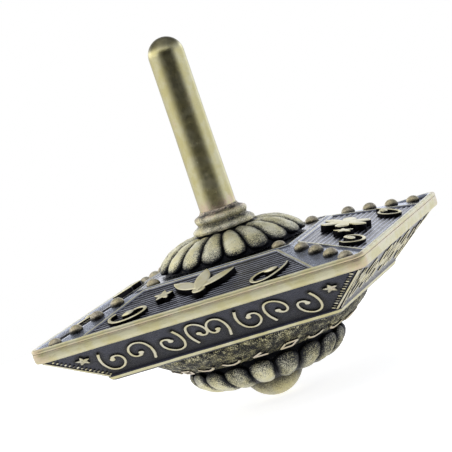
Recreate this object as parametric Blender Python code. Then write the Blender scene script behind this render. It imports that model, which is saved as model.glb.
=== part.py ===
"""Square, four-sided metal spinning top, for Blender 4.5 (metres, +Z up).

The top is a stack of cast and turned brass pieces held on one long stem. From the table up:
ball tip, lobed foot, conical base plate, tray shell, roof shell, lobed cap, collar and stem.
The stem's thin shank runs down through all of them and screws into the ball. A sleeve, a
washer and a thin nut on the shank clamp the two shells of the body together.

The origin is the point of the ball that touches the table, and +Z is the spin axis.
"""

import math

import bmesh
import bpy
from mathutils import Matrix, Vector

MM = 0.001
GAP = 0.1 * MM  # left between pieces that touch

# Body: half-widths of the square plan, and heights above the table.
RIM_HALF = 25.0 * MM
RIM_CORNER = 1.3 * MM
SEAM_Z = 18.4 * MM
RIM_TOP_Z = 19.2 * MM
RIM_FOOT_Z = 16.95 * MM
RIM_WALL = 1.2 * MM
ROOF_EDGE_HALF = 23.5 * MM
ROOF_EDGE_Z = 18.3 * MM
PLATFORM_HALF = 11.6 * MM
PLATFORM_Z = 21.4 * MM
WALL = 1.2 * MM
TRAY_TOP_HALF = 24.0 * MM
TRAY_FOOT_HALF = 17.2 * MM
TRAY_FOOT_Z = 10.9 * MM
TRAY_BORDER = 0.6 * MM
LIP_DEPTH = 1.1 * MM  # how far the roof's locating lip reaches into the tray

# Beads along each hip of the roof, as distances from the axis along X and along Y.
BEAD_RADIUS = 1.05 * MM
BEAD_PLACES = (21.8 * MM, 19.2 * MM, 16.6 * MM, 14.05 * MM, 9.65 * MM)
BEAD_SINK = 0.35 * MM

# Turned and lobed pieces.
LOBES = 18
CAP_TOP_Z = 25.15 * MM
COLLAR_TOP_Z = 27.85 * MM
STEM_RADIUS = 2.65 * MM
STEM_TOP_Z = 53.9 * MM
SHANK_RADIUS = 1.5 * MM
SHANK_END_Z = 2.9 * MM
BORE = SHANK_RADIUS + GAP
BALL_RADIUS = 4.5 * MM
BALL_SEAT_Z = 6.9 * MM
TIP_FLAT_RADIUS = 0.35 * MM
FOOT_BOTTOM_Z = 2.9 * MM
FOOT_TOP_Z = 7.4 * MM
BASE_TOP_RADIUS = 16.5 * MM
BASE_FOOT_RADIUS = 12.3 * MM
NUT_HALF_FLAT = 2.75 * MM
NUT_THICKNESS = 1.8 * MM
WASHER_RADIUS = 3.5 * MM
WASHER_THICKNESS = 0.5 * MM
SLEEVE_RADIUS = 3.0 * MM

# The raised mark on each roof panel.
MARK_THICKNESS = 0.9 * MM
MARK_CENTRE_HALF = 17.0 * MM  # distance from the axis, measured level

CORNER_STEPS = 7  # points in each rounded corner of the body
BODY_POINTS = 4 * CORNER_STEPS
ROUND_POINTS = 32
LOBE_POINTS = 6  # points across each lobe


def remove_all_objects():
    for obj in list(bpy.data.objects):
        bpy.data.objects.remove(obj)


def make_material(name, colour, roughness, metallic=1.0):
    material = bpy.data.materials.new(name)
    material.use_nodes = True
    shader = material.node_tree.nodes["Principled BSDF"]
    shader.inputs["Base Color"].default_value = (*colour, 1.0)
    shader.inputs["Roughness"].default_value = roughness
    shader.inputs["Metallic"].default_value = metallic
    return material


def add_object(name, mesh_builder, material, sharp_angle=math.radians(35)):
    """Turns a BMesh into an object with smooth shading below the sharp angle."""
    bmesh.ops.recalc_face_normals(mesh_builder, faces=mesh_builder.faces)
    mesh = bpy.data.meshes.new(name)
    mesh_builder.to_mesh(mesh)
    mesh_builder.free()
    mesh.materials.append(material)
    mesh.shade_smooth()
    mesh.set_sharp_from_angle(angle=sharp_angle)
    obj = bpy.data.objects.new(name, mesh)
    bpy.context.scene.collection.objects.link(obj)
    return obj


# Rings: each is a list of points round the axis, anticlockwise from above.


def circle_ring(radius, z, count=ROUND_POINTS, start=0.0):
    turn = 2 * math.pi / count
    return [
        Vector((radius * math.cos(start + i * turn), radius * math.sin(start + i * turn), z))
        for i in range(count)
    ]


def square_ring(half, z, corner=RIM_CORNER):
    """A square with rounded corners, the same number of points in each corner."""
    ring = []
    for quarter in range(4):
        middle = math.radians(45 + 90 * quarter)
        centre = Vector((math.cos(middle), math.sin(middle), 0)) * math.sqrt(2) * (half - corner)
        for step in range(CORNER_STEPS):
            angle = math.radians(90 * quarter) + math.radians(90) * step / (CORNER_STEPS - 1)
            edge = Vector((math.cos(angle), math.sin(angle), 0)) * corner
            ring.append(centre + edge + Vector((0, 0, z)))
    return ring


def body_bore_ring(radius, z):
    """A circle whose points pair with those of a square ring."""
    turn = 2 * math.pi / BODY_POINTS
    first = math.radians(45) - turn * (CORNER_STEPS - 1) / 2
    return circle_ring(radius, z, BODY_POINTS, first)


def lobed_ring(crest_radius, z, groove, first_crest):
    """A circle with round lobes; the grooves between them are cut in by the given depth."""
    count = LOBES * LOBE_POINTS
    ring = []
    for i in range(count):
        across = 1 - abs(2 * (i % LOBE_POINTS) / LOBE_POINTS - 1)  # 0 on a crest, 1 in a groove
        radius = crest_radius - groove * across**2.5
        angle = first_crest + 2 * math.pi * i / count
        ring.append(Vector((radius * math.cos(angle), radius * math.sin(angle), z)))
    return ring


def hexagon_ring(half_flat, z, count=24):
    """A hexagon with points along its sides, so that it pairs with a circle."""
    ring = []
    for i in range(count):
        angle = 2 * math.pi * i / count
        from_flat = (angle + math.radians(30)) % math.radians(60) - math.radians(30)
        radius = half_flat / math.cos(from_flat)
        ring.append(Vector((radius * math.cos(angle), radius * math.sin(angle), z)))
    return ring


def lofted(rings, closed):
    """Joins each ring to the next. A closed loft joins the last to the first; an open one is capped."""
    builder = bmesh.new()
    loops = [[builder.verts.new(point) for point in ring] for ring in rings]
    pairs = list(zip(loops, loops[1:]))
    if closed:
        pairs.append((loops[-1], loops[0]))
    for lower, upper in pairs:
        for i, vert in enumerate(lower):
            after = (i + 1) % len(lower)
            builder.faces.new((vert, lower[after], upper[after], upper[i]))
    if not closed:
        builder.faces.new(list(reversed(loops[0])))
        builder.faces.new(loops[-1])
    return builder


def arc(centre, radius, start_deg, end_deg, steps):
    """(r, z) points along an arc in the plane of a profile."""
    points = []
    for step in range(steps + 1):
        angle = math.radians(start_deg + (end_deg - start_deg) * step / steps)
        points.append((centre[0] + radius * math.cos(angle), centre[1] + radius * math.sin(angle)))
    return points


def turned(name, profile, material, closed=True, count=ROUND_POINTS):
    rings = [circle_ring(radius, z, count) for radius, z in profile]
    return add_object(name, lofted(rings, closed), material)


# The stem and the turned pieces on it.


def make_stem(material):
    """Shank, shoulder and grip in one, with a round end for the fingers."""
    round_end = arc((0, STEM_TOP_Z - STEM_RADIUS), STEM_RADIUS, 0, 82, 6)
    profile = [
        (SHANK_RADIUS * 0.7, SHANK_END_Z),
        (SHANK_RADIUS, SHANK_END_Z + 0.5 * MM),
        (SHANK_RADIUS, COLLAR_TOP_Z + GAP),
        (STEM_RADIUS, COLLAR_TOP_Z + GAP),
        *round_end,
    ]
    return turned("stem", profile, material, closed=False)


def make_collar(material):
    """Two-step collar: a round bead under the stem, a hollow neck and a spreading foot."""
    foot_z = CAP_TOP_Z + GAP
    bead = arc((3.05 * MM, COLLAR_TOP_Z - 0.75 * MM), 0.72 * MM, -60, 90, 6)
    foot = arc((4.15 * MM, foot_z + 0.45 * MM), 0.45 * MM, -90, 70, 4)
    neck = [(3.75 * MM, foot_z + 1.1 * MM)]
    profile = [(BORE, foot_z), *foot, *neck, *bead, (BORE, COLLAR_TOP_Z)]
    return turned("stem_collar", profile, material)


def make_spacer_sleeve(material):
    bottom = TRAY_FOOT_Z + WALL + GAP
    top = PLATFORM_Z - WALL - GAP
    profile = [(BORE, bottom), (SLEEVE_RADIUS, bottom), (SLEEVE_RADIUS, top), (BORE, top)]
    return turned("spacer_sleeve", profile, material)


def make_washer(material):
    top = TRAY_FOOT_Z - GAP
    bottom = top - WASHER_THICKNESS
    profile = [(BORE, bottom), (WASHER_RADIUS, bottom), (WASHER_RADIUS, top), (BORE, top)]
    return turned("clamp_washer", profile, material)


def make_nut(material):
    top = TRAY_FOOT_Z - WASHER_THICKNESS - 2 * GAP
    bottom = top - NUT_THICKNESS
    rings = [
        circle_ring(BORE, bottom, 24),
        hexagon_ring(NUT_HALF_FLAT, bottom),
        hexagon_ring(NUT_HALF_FLAT, top),
        circle_ring(BORE, top, 24),
    ]
    return add_object("clamp_nut", lofted(rings, closed=True), material)


def make_ball_tip(material):
    """A ball with a small worn flat below, a seat on top and a blind hole for the shank."""
    seat_rise = BALL_SEAT_Z - BALL_RADIUS
    seat_angle = math.degrees(math.asin(seat_rise / BALL_RADIUS))
    ball = arc((0, BALL_RADIUS), BALL_RADIUS, -80, seat_angle, 14)
    hole_z = SHANK_END_Z - 0.2 * MM
    outside = [(TIP_FLAT_RADIUS, 0.0), *ball]
    hole = [(BORE, BALL_SEAT_Z), (BORE, hole_z), (0.2 * MM, hole_z)]
    return turned("ball_tip", outside + hole, material, closed=False)


# The lobed pieces.


def lobed_piece(name, crest, inside, first_crest, material):
    """crest is (radius, z, groove depth) down the outside; inside is (radius, z) back up."""
    rings = [lobed_ring(*point, first_crest) for point in crest]
    rings += [circle_ring(radius, z, LOBES * LOBE_POINTS, first_crest) for radius, z in inside]
    return add_object(name, lofted(rings, closed=True), material)


def make_lobed_cap(material):
    crest = [
        (4.3 * MM, CAP_TOP_Z, 0.0),
        (5.4 * MM, CAP_TOP_Z - 0.02 * MM, 0.30 * MM),
        (7.2 * MM, 24.85 * MM, 0.55 * MM),
        (8.8 * MM, 24.15 * MM, 0.75 * MM),
        (10.1 * MM, 23.25 * MM, 0.85 * MM),
        (11.0 * MM, 22.60 * MM, 0.90 * MM),
        (11.3 * MM, 22.20 * MM, 0.90 * MM),
        (10.9 * MM, 21.85 * MM, 0.70 * MM),
        (10.2 * MM, PLATFORM_Z + 2 * GAP, 0.2 * MM),
    ]
    seat_z = PLATFORM_Z + GAP
    inside = [(9.9 * MM, seat_z), (8.4 * MM, seat_z), (7.0 * MM, 22.9 * MM), (4.0 * MM, 23.7 * MM)]
    inside += [(BORE, 23.7 * MM), (BORE, CAP_TOP_Z)]
    return lobed_piece("upper_lobed_cap", crest, inside, math.pi / LOBES, material)


def make_lobed_foot(material):
    crest = [
        (11.1 * MM, FOOT_TOP_Z - 0.1 * MM, 0.5 * MM),
        (11.65 * MM, 6.7 * MM, 1.0 * MM),
        (11.55 * MM, 5.8 * MM, 1.1 * MM),
        (10.95 * MM, 4.9 * MM, 1.1 * MM),
        (9.9 * MM, 4.1 * MM, 1.0 * MM),
        (8.2 * MM, 3.4 * MM, 0.8 * MM),
        (6.0 * MM, FOOT_BOTTOM_Z, 0.3 * MM),
    ]
    socket = BALL_RADIUS + GAP
    seat_z = BALL_SEAT_Z + GAP
    inside = [(5.0 * MM, FOOT_BOTTOM_Z), (socket, 3.6 * MM), (socket, seat_z - 0.9 * MM)]
    inside += [(4.0 * MM, seat_z), (BORE, seat_z), (BORE, FOOT_TOP_Z), (10.6 * MM, FOOT_TOP_Z)]
    return lobed_piece("lower_lobed_foot", crest, inside, 0.0, material)


def make_base_plate(material):
    """The cone under the tray, with a pocket in its top for the nut and washer."""
    top = TRAY_FOOT_Z - GAP
    bottom = FOOT_TOP_Z + GAP
    pocket_z = TRAY_FOOT_Z - WASHER_THICKNESS - NUT_THICKNESS - 3 * GAP
    pocket_radius = 4.0 * MM
    profile = [
        (BORE, bottom),
        (BASE_FOOT_RADIUS, bottom),
        (BASE_FOOT_RADIUS + 0.4 * MM, bottom + 0.25 * MM),
        (BASE_TOP_RADIUS, top - 0.5 * MM),
        (BASE_TOP_RADIUS, top),
        (pocket_radius, top),
        (pocket_radius, pocket_z),
        (BORE, pocket_z),
    ]
    return turned("base_plate", profile, material, count=48)


# The two shells of the body.


def roof_height(half):
    """Height of the roof's outside at a given half-width."""
    rise = (PLATFORM_Z - ROOF_EDGE_Z) / (ROOF_EDGE_HALF - PLATFORM_HALF)
    return ROOF_EDGE_Z + rise * (ROOF_EDGE_HALF - half)


def cut_or_join(target, tool, operation):
    """Applies a Boolean to the target and removes the tool."""
    modifier = target.modifiers.new(operation.lower(), "BOOLEAN")
    modifier.operation = operation
    modifier.solver = "EXACT"
    modifier.object = tool
    graph = bpy.context.evaluated_depsgraph_get()
    mesh = bpy.data.meshes.new_from_object(target.evaluated_get(graph))
    target.modifiers.clear()
    target.data = mesh
    bpy.data.objects.remove(tool)


def bead_object(place, quarter, material):
    """One round bead on a hip of the roof, sunk a little into it."""
    builder = bmesh.new()
    bmesh.ops.create_icosphere(builder, subdivisions=2, radius=BEAD_RADIUS)
    height = min(roof_height(place), PLATFORM_Z)
    at = Matrix.Rotation(math.radians(90 * quarter), 4, "Z") @ Vector((place, place, 0))
    centre = Vector((at.x, at.y, height + BEAD_RADIUS - BEAD_SINK - 0.45 * MM))
    bmesh.ops.translate(builder, verts=builder.verts, vec=centre)
    return add_object("bead", builder, material)


def make_roof_shell(material):
    """Upper half of the body: platform, four sloping panels, upper rim and locating lip."""
    lip_outer = RIM_HALF - RIM_WALL - 0.6 * MM
    lip_inner = lip_outer - 1.0 * MM
    seam = SEAM_Z + GAP / 2
    lip_z = seam - LIP_DEPTH
    under = WALL * 1.05
    outside = [
        (lip_outer, seam, RIM_CORNER),
        (RIM_HALF - 0.1 * MM, seam, RIM_CORNER),
        (RIM_HALF, seam + 0.15 * MM, RIM_CORNER),
        (RIM_HALF - 0.15 * MM, RIM_TOP_Z - 0.2 * MM, RIM_CORNER),
        (RIM_HALF - 0.45 * MM, RIM_TOP_Z, RIM_CORNER),
        (RIM_HALF - RIM_WALL, RIM_TOP_Z - 0.05 * MM, 0.9 * MM),
        (ROOF_EDGE_HALF, ROOF_EDGE_Z, 0.4 * MM),
        (PLATFORM_HALF, PLATFORM_Z - 0.25 * MM, 0.3 * MM),
        (PLATFORM_HALF - 0.1 * MM, PLATFORM_Z, 0.3 * MM),
    ]
    underside = [
        (PLATFORM_HALF - 0.4 * MM, PLATFORM_Z - WALL, 0.3 * MM),
        (lip_inner, roof_height(lip_inner) - under, 0.4 * MM),
        (lip_inner, lip_z, 0.4 * MM),
        (lip_outer - 0.15 * MM, lip_z, 0.7 * MM),
    ]
    rings = [square_ring(*point) for point in outside]
    rings += [body_bore_ring(BORE, PLATFORM_Z), body_bore_ring(BORE, PLATFORM_Z - WALL)]
    rings += [square_ring(*point) for point in underside]
    shell = add_object("roof_shell", lofted(rings, closed=True), material)
    for quarter in range(4):
        for place in BEAD_PLACES:
            cut_or_join(shell, bead_object(place, quarter, material), "UNION")
    shell.data.shade_smooth()
    shell.data.set_sharp_from_angle(angle=math.radians(35))
    return shell


def make_tray_shell(material):
    """Lower half of the body: lower rim, four leaning sides, border and floor."""
    pocket = RIM_HALF - RIM_WALL - 0.5 * MM
    seam = SEAM_Z - GAP / 2
    pocket_z = seam - LIP_DEPTH - GAP
    floor_z = TRAY_FOOT_Z + WALL
    outside = [
        (TRAY_FOOT_HALF - 0.15 * MM, TRAY_FOOT_Z, 0.6 * MM),
        (TRAY_FOOT_HALF + 0.1 * MM, TRAY_FOOT_Z + 0.15 * MM, 0.8 * MM),
        (TRAY_FOOT_HALF + 0.1 * MM, TRAY_FOOT_Z + TRAY_BORDER, 0.8 * MM),
        (TRAY_TOP_HALF, RIM_FOOT_Z, 0.8 * MM),
        (TRAY_TOP_HALF + 0.45 * MM, RIM_FOOT_Z, RIM_CORNER),
        (RIM_HALF - 0.1 * MM, RIM_FOOT_Z + 0.35 * MM, RIM_CORNER),
        (RIM_HALF, seam - 0.25 * MM, RIM_CORNER),
        (RIM_HALF - 0.1 * MM, seam, RIM_CORNER),
    ]
    inside = [
        (pocket, seam, RIM_CORNER),
        (pocket, pocket_z, 0.7 * MM),
        (pocket - 1.1 * MM, pocket_z, 0.4 * MM),
        (TRAY_FOOT_HALF - 0.8 * MM, floor_z, 0.4 * MM),
    ]
    rings = [square_ring(*point) for point in outside + inside]
    rings += [body_bore_ring(BORE, floor_z), body_bore_ring(BORE, TRAY_FOOT_Z)]
    return add_object("tray_shell", lofted(rings, closed=True), material)


# The four raised marks, one for each side. Outlines are in millimetres: x runs along the
# panel, and y runs up the slope towards the stem.


def leaf_outline(base, tip, width, steps=10):
    """A pointed leaf between two points."""
    base, tip = Vector(base), Vector(tip)
    along = tip - base
    across = Vector((-along.y, along.x)).normalized()
    side = []
    for step in range(1, steps):
        share = step / steps
        bulge = width / 2 * math.sin(math.pi * share) ** 0.8
        side.append((base + along * share, bulge))
    right = [centre - across * bulge for centre, bulge in side]
    left = [centre + across * bulge for centre, bulge in reversed(side)]
    return [base, *right, tip, *left]


def disc_outline(centre, radius, count=20):
    centre = Vector(centre)
    turns = [2 * math.pi * i / count for i in range(count)]
    return [centre + Vector((math.cos(turn), math.sin(turn))) * radius for turn in turns]


def petal_wheel_outline(petals, reach, waist, count=72):
    """A flower: the radius swings between waist and reach, once for each petal."""
    outline = []
    for i in range(count):
        turn = 2 * math.pi * i / count
        swing = abs(math.cos(petals * turn / 2)) ** 0.7
        outline.append(Vector((math.cos(turn), math.sin(turn))) * (waist + (reach - waist) * swing))
    return outline


def crescent_outline(radius, bite_radius, bite_shift, steps=16):
    """A crescent open to the right: a disc with a smaller disc bitten out of it."""
    meet = (radius**2 - bite_radius**2 + bite_shift**2) / (2 * bite_shift)
    outer = math.acos(meet / radius)
    inner = math.acos((meet - bite_shift) / bite_radius)
    outline = []
    for step in range(steps + 1):
        turn = outer + (2 * math.pi - 2 * outer) * step / steps
        outline.append(Vector((math.cos(turn), math.sin(turn))) * radius)
    for step in range(1, steps):
        turn = (2 * math.pi - inner) + (2 * inner - 2 * math.pi) * step / steps
        point = Vector((math.cos(turn), math.sin(turn))) * bite_radius
        outline.append(point + Vector((bite_shift, 0)))
    return outline


def mark_outlines():
    """Name and overlapping outlines of each mark, in the order front, right, back, left."""
    sprig = [
        leaf_outline((0, -3.4), (0, 3.6), 2.3),
        leaf_outline((0, -2.6), (-4.6, 1.4), 2.0),
        leaf_outline((0, -2.6), (4.6, 1.4), 2.0),
        disc_outline((0, -2.9), 1.0),
    ]
    blossom = [petal_wheel_outline(6, 3.7, 1.5)]
    crescent = [crescent_outline(3.7, 3.0, 1.5)]
    twin_leaf = [
        leaf_outline((-4.4, -2.4), (1.6, 3.0), 2.4),
        leaf_outline((4.4, 2.4), (-1.6, -3.0), 2.4),
        disc_outline((0, 0), 1.2),
    ]
    return [
        ("mark_sprig", sprig),
        ("mark_blossom", blossom),
        ("mark_crescent", crescent),
        ("mark_twin_leaf", twin_leaf),
    ]


def prism(name, outline, material):
    """An outline in millimetres, extruded up by the thickness of a mark."""
    rings = [
        [Vector((point.x * MM, point.y * MM, height)) for point in outline]
        for height in (0.0, MARK_THICKNESS)
    ]
    return add_object(name, lofted(rings, closed=False), material)


def make_mark(name, outlines, quarter, material):
    """A mark of one solid, laid on the slope of its own side of the roof."""
    mark = prism(name, outlines[0], material)
    for outline in outlines[1:]:
        cut_or_join(mark, prism("more", outline, material), "UNION")
    slope = math.atan2(PLATFORM_Z - ROOF_EDGE_Z, ROOF_EDGE_HALF - PLATFORM_HALF)
    lean = Matrix.Rotation(slope, 4, "X")
    at = Vector((0, -MARK_CENTRE_HALF, roof_height(MARK_CENTRE_HALF) + GAP))
    mark.matrix_world = Matrix.Rotation(math.radians(90 * quarter), 4, "Z") @ Matrix.Translation(at) @ lean
    return mark


def main():
    remove_all_objects()
    polished = make_material("polished_brass", (0.62, 0.56, 0.36), 0.3)
    antiqued = make_material("antiqued_brass", (0.16, 0.15, 0.14), 0.45)
    grained = make_material("grained_brass", (0.42, 0.39, 0.27), 0.5)
    steel = make_material("steel", (0.5, 0.5, 0.5), 0.35)

    make_stem(polished)
    make_collar(grained)
    make_lobed_cap(grained)
    make_roof_shell(antiqued)
    make_tray_shell(antiqued)
    make_base_plate(grained)
    make_lobed_foot(grained)
    make_ball_tip(polished)
    make_spacer_sleeve(polished)
    make_washer(steel)
    make_nut(steel)
    for quarter, (name, outlines) in enumerate(mark_outlines()):
        make_mark(name, outlines, quarter, polished)


main()
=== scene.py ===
"""The look of the four-sided brass spinning top.

Lengths in this file are in millimetres and angles in degrees until a mesh or a light is made.
Every vertex carries a number for wear and shade: 0 in a recess full of black patina, 1 on rubbed bright brass. In a
few places it also holds painted shade: one side of the lobes, the inner ends of the lobes and the top of the stem's
round end are darkened to stand for shade and dark reflection.
"""

import math

import bmesh
import bpy
import numpy as np
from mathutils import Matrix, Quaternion, Vector


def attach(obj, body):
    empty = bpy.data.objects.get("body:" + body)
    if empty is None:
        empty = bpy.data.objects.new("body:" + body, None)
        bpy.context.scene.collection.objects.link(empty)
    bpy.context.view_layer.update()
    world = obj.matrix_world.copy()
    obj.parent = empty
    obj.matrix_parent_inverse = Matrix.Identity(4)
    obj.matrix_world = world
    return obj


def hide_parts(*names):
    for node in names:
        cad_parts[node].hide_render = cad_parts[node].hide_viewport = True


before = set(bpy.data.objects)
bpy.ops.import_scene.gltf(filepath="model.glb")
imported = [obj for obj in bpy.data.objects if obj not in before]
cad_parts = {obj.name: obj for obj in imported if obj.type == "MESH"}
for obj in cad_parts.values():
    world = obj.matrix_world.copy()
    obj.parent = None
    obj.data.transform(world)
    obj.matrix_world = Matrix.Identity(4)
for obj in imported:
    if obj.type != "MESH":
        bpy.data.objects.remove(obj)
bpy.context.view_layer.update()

MM = 0.001

# Camera: where it stands round the object, how far off, and how it is tipped.
VIEW_AZIMUTH, VIEW_ELEVATION, VIEW_ROLL = 17.97, 5.14, -18.8
VIEW_DISTANCE = 442.0
VIEW_TARGET = (0.0, 0.6, 25.3)
VIEW_LENS = 246.1

# The studio: how much each part of the light tent is dimmed or, for a negative share, brightened.
OPENING_AZIMUTH, OPENING_DIM = 26.0, 0.97
UPPER_RIGHT_DIM, LOW_BAND_DIM, HIGH_BAND_DIM, REAR_RIGHT_DIM = 0.45, -0.95, 0.62, -0.5
COOL_WHITE = (0.93, 0.97, 1.10)
FLOOR_RADIUS = 160.0
KEY_PLACE, KEY_SIZE, KEY_WATTS = (-300.0, -140.0, 330.0), 520.0, 0.35

# The body, as in the CAD model.
SEAM_Z = 18.4
ROOF_EDGE_HALF, ROOF_EDGE_Z = 23.5, 18.3
PLATFORM_HALF, PLATFORM_Z = 11.6, 21.4
TRAY_TOP_HALF, TRAY_TOP_Z = 24.0, 16.95
TRAY_FOOT_HALF, TRAY_FOOT_Z = 17.3, 11.5
BORE = 1.6  # radius of the hole that the stem's shank runs through
LOBES = 18
SIDES = ("front", "right", "back", "left")
STEM_RADIUS, STEM_FOOT_Z, STEM_TOP_Z = 2.63, 27.95, 53.85
BALL_RADIUS = 4.5
BEAD_DISTANCES = (21.8, 19.2, 16.6, 14.05, 9.65)  # along the hips, as half-widths of the square
BEAD_RADIUS = 0.97
PANEL_LINE_PITCH = 0.72
CASTING_WAVES = 0.035  # how far the cast faces stray from flat
STUDS = 15
BORDER_FIGURES, BORDER_RADIUS = 20, 13.6

COPPER = (0.64, 0.44, 0.38)


# Small numeric helpers.


def smooth(low, high, x):
    """0 below low, 1 above high, with a smooth step between."""
    t = np.clip((np.asarray(x, float) - low) / (high - low), 0, 1)
    return t * t * (3 - 2 * t)


def noise(points, size, seed=0):
    """Smooth noise from -1 to 1, with lumps of the given size."""
    p = np.asarray(points, float) / size + seed * 17.31
    cell = np.floor(p).astype(np.int64)
    f = p - cell
    f = f * f * (3 - 2 * f)
    total = 0.0
    for corner in range(8):
        step = np.array([corner & 1, corner >> 1 & 1, corner >> 2 & 1])
        at = cell + step
        mixed = at[..., 0] * 73856093 ^ at[..., 1] * 19349663 ^ at[..., 2] * 83492791
        mixed = (mixed ^ (mixed >> 13)) * 1274126177
        value = ((mixed ^ (mixed >> 16)) & 0xFFFF) / 32767.5 - 1
        weight = np.prod(np.where(step, f, 1 - f), axis=-1)
        total = total + value * weight
    return total


def curve_through(points, count):
    """Evenly spaced points on a smooth curve through the given ones."""
    p = np.asarray(points, float)
    p = np.vstack([2 * p[0] - p[1], p, 2 * p[-1] - p[-2]])
    found = []
    for i in range(1, len(p) - 2):
        t = np.linspace(0, 1, 24, endpoint=False)[:, None]
        a, b, c, d = p[i - 1], p[i], p[i + 1], p[i + 2]
        found.append(
            0.5 * (2 * b + (c - a) * t + (2 * a - 5 * b + 4 * c - d) * t**2 + (3 * b - a - 3 * c + d) * t**3)
        )
    found = np.vstack([*found, p[-2:-1]])
    length = np.concatenate([[0], np.cumsum(np.linalg.norm(np.diff(found, axis=0), axis=1))])
    even = np.linspace(0, length[-1], count)
    return np.stack([np.interp(even, length, found[:, k]) for k in range(p.shape[1])], 1)


# Meshes. A Build collects shapes and makes one object of them.


class Build:
    def __init__(self):
        self.points, self.faces, self.wear, self.count = [], [], [], 0

    def add(self, points, faces, wear):
        points = np.asarray(points, float).reshape(-1, 3)
        self.points.append(points)
        self.faces += [[int(i) + self.count for i in face] for face in faces]
        self.wear.append(np.broadcast_to(np.asarray(wear, float).reshape(-1), (len(points),)))
        self.count += len(points)

    def grid(self, points, wear, around=True, close=False, caps=False):
        """points is rows x columns x 3. around joins the last column to the first, close the last row."""
        rows, columns = points.shape[:2]
        index = np.arange(rows * columns).reshape(rows, columns)
        if around:
            index = np.hstack([index, index[:, :1]])
        if close:
            index = np.vstack([index, index[:1]])
        quads = np.stack([index[:-1, :-1], index[:-1, 1:], index[1:, 1:], index[1:, :-1]], -1)
        faces = quads.reshape(-1, 4).tolist()
        if caps:
            faces += [list(range(columns))[::-1], list(range((rows - 1) * columns, rows * columns))]
        wear = np.asarray(wear, float)
        if wear.ndim == 1 and len(wear) == rows:
            wear = np.repeat(wear, columns)
        self.add(points, faces, wear)

    def piece(self, name, material, slot, *nodes, sharp=40, copper=None):
        """Makes the object, rides it on the body and hides the CAD nodes that it stands for.

        copper maps points to how much of the brass there shows pink copper."""
        mesh = bpy.data.meshes.new(name)
        points = np.vstack(self.points)
        mesh.from_pydata((points * MM).tolist(), [], self.faces)
        mesh.attributes.new("wear", "FLOAT", "POINT").data.foreach_set("value", np.concatenate(self.wear))
        shown = np.zeros(len(points)) if copper is None else np.broadcast_to(copper(points), (len(points),))
        mesh.attributes.new("copper", "FLOAT", "POINT").data.foreach_set("value", np.ascontiguousarray(shown, float))
        mesh.materials.append(material)
        work = bmesh.new()
        work.from_mesh(mesh)
        bmesh.ops.recalc_face_normals(work, faces=work.faces)
        work.to_mesh(mesh)
        work.free()
        mesh.shade_smooth()
        mesh.set_sharp_from_angle(angle=math.radians(sharp))
        made = bpy.data.objects.new(name, mesh)
        bpy.context.scene.collection.objects.link(made)
        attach(made, "root")
        if nodes:
            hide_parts(*nodes)
        return made


def turned_points(profile, count):
    """Rows of points round the axis from (r, z) pairs."""
    profile = np.asarray(profile, float)
    turn = np.radians(np.arange(count) * 360 / count)
    r, z = profile[:, :1], profile[:, 1:2]
    return np.stack([r * np.cos(turn), r * np.sin(turn), z + 0 * turn], -1)


def roughened(points, axis_centre, depth, size, seed=0):
    """Moves points in and out from the axis and up and down by smooth noise."""
    lump = noise(points, size, seed) * depth
    out = points - np.asarray(axis_centre)
    out = out / np.maximum(np.linalg.norm(out, axis=-1, keepdims=True), 1e-6)
    return points + out * lump[..., None]


SIDE_POINTS, CORNER_POINTS = 150, 8


def square_ring(half, z, corner):
    """A square with rounded corners, starting at the left end of the front side."""
    ring = []
    along = np.linspace(-(half - corner), half - corner, SIDE_POINTS)
    turn = np.radians(np.linspace(-90, 0, CORNER_POINTS + 2)[1:-1])
    side = np.vstack(
        [
            np.stack([along, -half + 0 * along], 1),
            np.stack([half - corner + corner * np.cos(turn), corner - half + corner * np.sin(turn)], 1),
        ]
    )
    for quarter in range(4):
        c, s = math.cos(math.radians(90 * quarter)), math.sin(math.radians(90 * quarter))
        ring.append(side @ np.array([[c, s], [-s, c]]))
    ring = np.vstack(ring)
    return np.column_stack([ring, np.full(len(ring), z)])


def bore_ring(radius, z):
    """A circle whose points pair with those of a square ring."""
    ring = square_ring(1.0, z, 0.5)
    flat = ring[:, :2] / np.linalg.norm(ring[:, :2], axis=1, keepdims=True) * radius
    return np.column_stack([flat, ring[:, 2]])


# Flat places that relief is laid on. Each maps u along the side, v up the slope and a height
# above the surface to a point.


def turned_quarter(points, side):
    angle = math.radians(90 * SIDES.index(side))
    c, s = math.cos(angle), math.sin(angle)
    x, y, z = points[..., 0], points[..., 1], points[..., 2]
    return np.stack([c * x - s * y, s * x + c * y, z], -1)


def on_slope(side, low, high):
    """low and high are (half-width, z) at the foot and head of the sloping face."""
    run = np.array([low[0] - high[0], high[1] - low[1]])
    run /= np.linalg.norm(run)

    def place(u, v, height):
        u, v, height = np.broadcast_arrays(u, v, height)
        y = -low[0] + run[0] * v - run[1] * height
        z = low[1] + run[1] * v + run[0] * height
        return turned_quarter(np.stack([u, y, z], -1), side)

    return place


def on_roof(side):
    return on_slope(side, (ROOF_EDGE_HALF, ROOF_EDGE_Z), (PLATFORM_HALF, PLATFORM_Z))


def on_tray(side):
    """v is 0 at the foot of the side and runs up to the rim."""
    return on_slope(side, (TRAY_FOOT_HALF, TRAY_FOOT_Z), (TRAY_TOP_HALF, TRAY_TOP_Z))


ROOF_LENGTH = math.hypot(ROOF_EDGE_HALF - PLATFORM_HALF, PLATFORM_Z - ROOF_EDGE_Z)
TRAY_LENGTH = math.hypot(TRAY_TOP_HALF - TRAY_FOOT_HALF, TRAY_TOP_Z - TRAY_FOOT_Z)


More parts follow.
